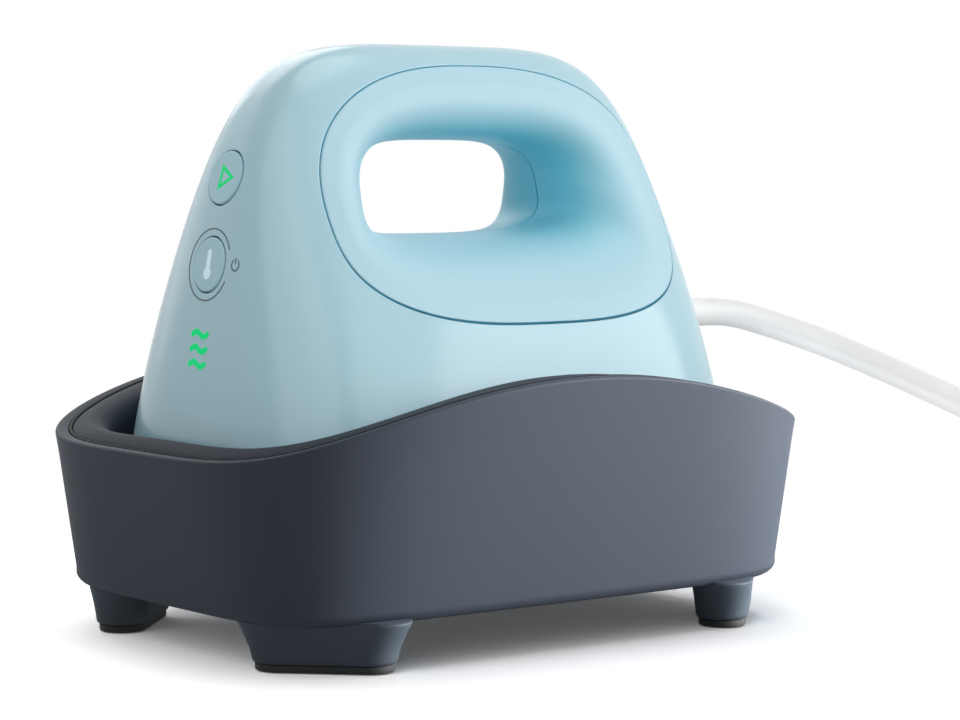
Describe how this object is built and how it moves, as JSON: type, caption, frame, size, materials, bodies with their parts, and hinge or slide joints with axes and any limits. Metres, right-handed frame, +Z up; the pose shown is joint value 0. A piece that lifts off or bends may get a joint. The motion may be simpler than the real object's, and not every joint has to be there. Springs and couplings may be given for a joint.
{
  "type": "cap heat press",
  "caption": "Hand-held cap heat press with a curved hot plate, a hand opening through its arched body and front push buttons, resting in an insulated cradle base on feet",
  "frame": {"origin": "on the floor under the middle of the base", "axes": "+X towards the power cord, -X towards the buttons, +Z up"},
  "size_m": [0.4342, 0.1664, 0.154],
  "materials": {
    "slate_plastic": "fine matt grain",
    "slate_liner": "satin",
    "slate_floor": "fine matt grain",
    "pad_rubber": "matt",
    "cradle_silicone": "matt",
    "screw_steel": "zinc plated",
    "felt_wool": "needled mineral felt",
    "shell_plastic": "gloss",
    "trim_plastic": "satin gloss",
    "collar_plastic": "satin",
    "plate_aluminium": "smooth release coat",
    "heater_steel": "heat tinted",
    "sheet_steel": "plain sheet",
    "sensor_glass": "clear bead",
    "pale_ceramic": "matt",
    "circuit_board": "solder mask",
    "switch_plastic": "satin",
    "light_green": "lit light guide",
    "light_white": "light guide",
    "button_plastic": "satin gloss",
    "cord_plastic": "satin"
  },
  "bodies": {
    "base": {"base_tub": "slate_plastic", "base_liner": "slate_liner", "base_bottom": "slate_floor", "foot_pads": "pad_rubber", "base_screws": "screw_steel", "base_insulation": "felt_wool", "cradle_pads": "cradle_silicone", "cord_coil": "cord_plastic", "plug": "cord_plastic"},
    "press": {"press_shell": "shell_plastic", "handle_trim_right": "trim_plastic", "handle_trim_left": "trim_plastic", "plate_surround": "collar_plastic", "heat_plate": "plate_aluminium", "heater": "heater_steel", "plate_insulation": "felt_wool", "heat_shield": "sheet_steel", "thermistor": "sensor_glass", "thermal_fuse": "pale_ceramic", "chassis": "sheet_steel", "plate_screws": "screw_steel", "chassis_screws": "screw_steel", "power_board": "circuit_board", "board_screws": "screw_steel", "control_board": "circuit_board", "start_switch": "switch_plastic", "heat_switch": "switch_plastic", "heat_lights": "light_green", "terminal_block": "pale_ceramic", "strain_relief": "cord_plastic", "power_cord": "cord_plastic"},
    "start_button": {"start_button": "button_plastic", "start_light": "light_green"},
    "heat_button": {"heat_button": "button_plastic", "heat_light": "light_white"}
  },
  "joints": [
    {"name": "press_lift", "type": "slide", "parent": "base", "child": "press", "axis": [0, 0, 1], "range_m": [0, 0.12]},
    {"name": "start_button_press", "type": "slide", "parent": "press", "child": "start_button", "axis": [0.9566, 0, -0.2913], "range_m": [0, 0.001], "stiffness_N_per_m": 1500},
    {"name": "heat_button_press", "type": "slide", "parent": "press", "child": "heat_button", "axis": [0.9842, 0, -0.1768], "range_m": [0, 0.001], "stiffness_N_per_m": 1500}
  ]
}
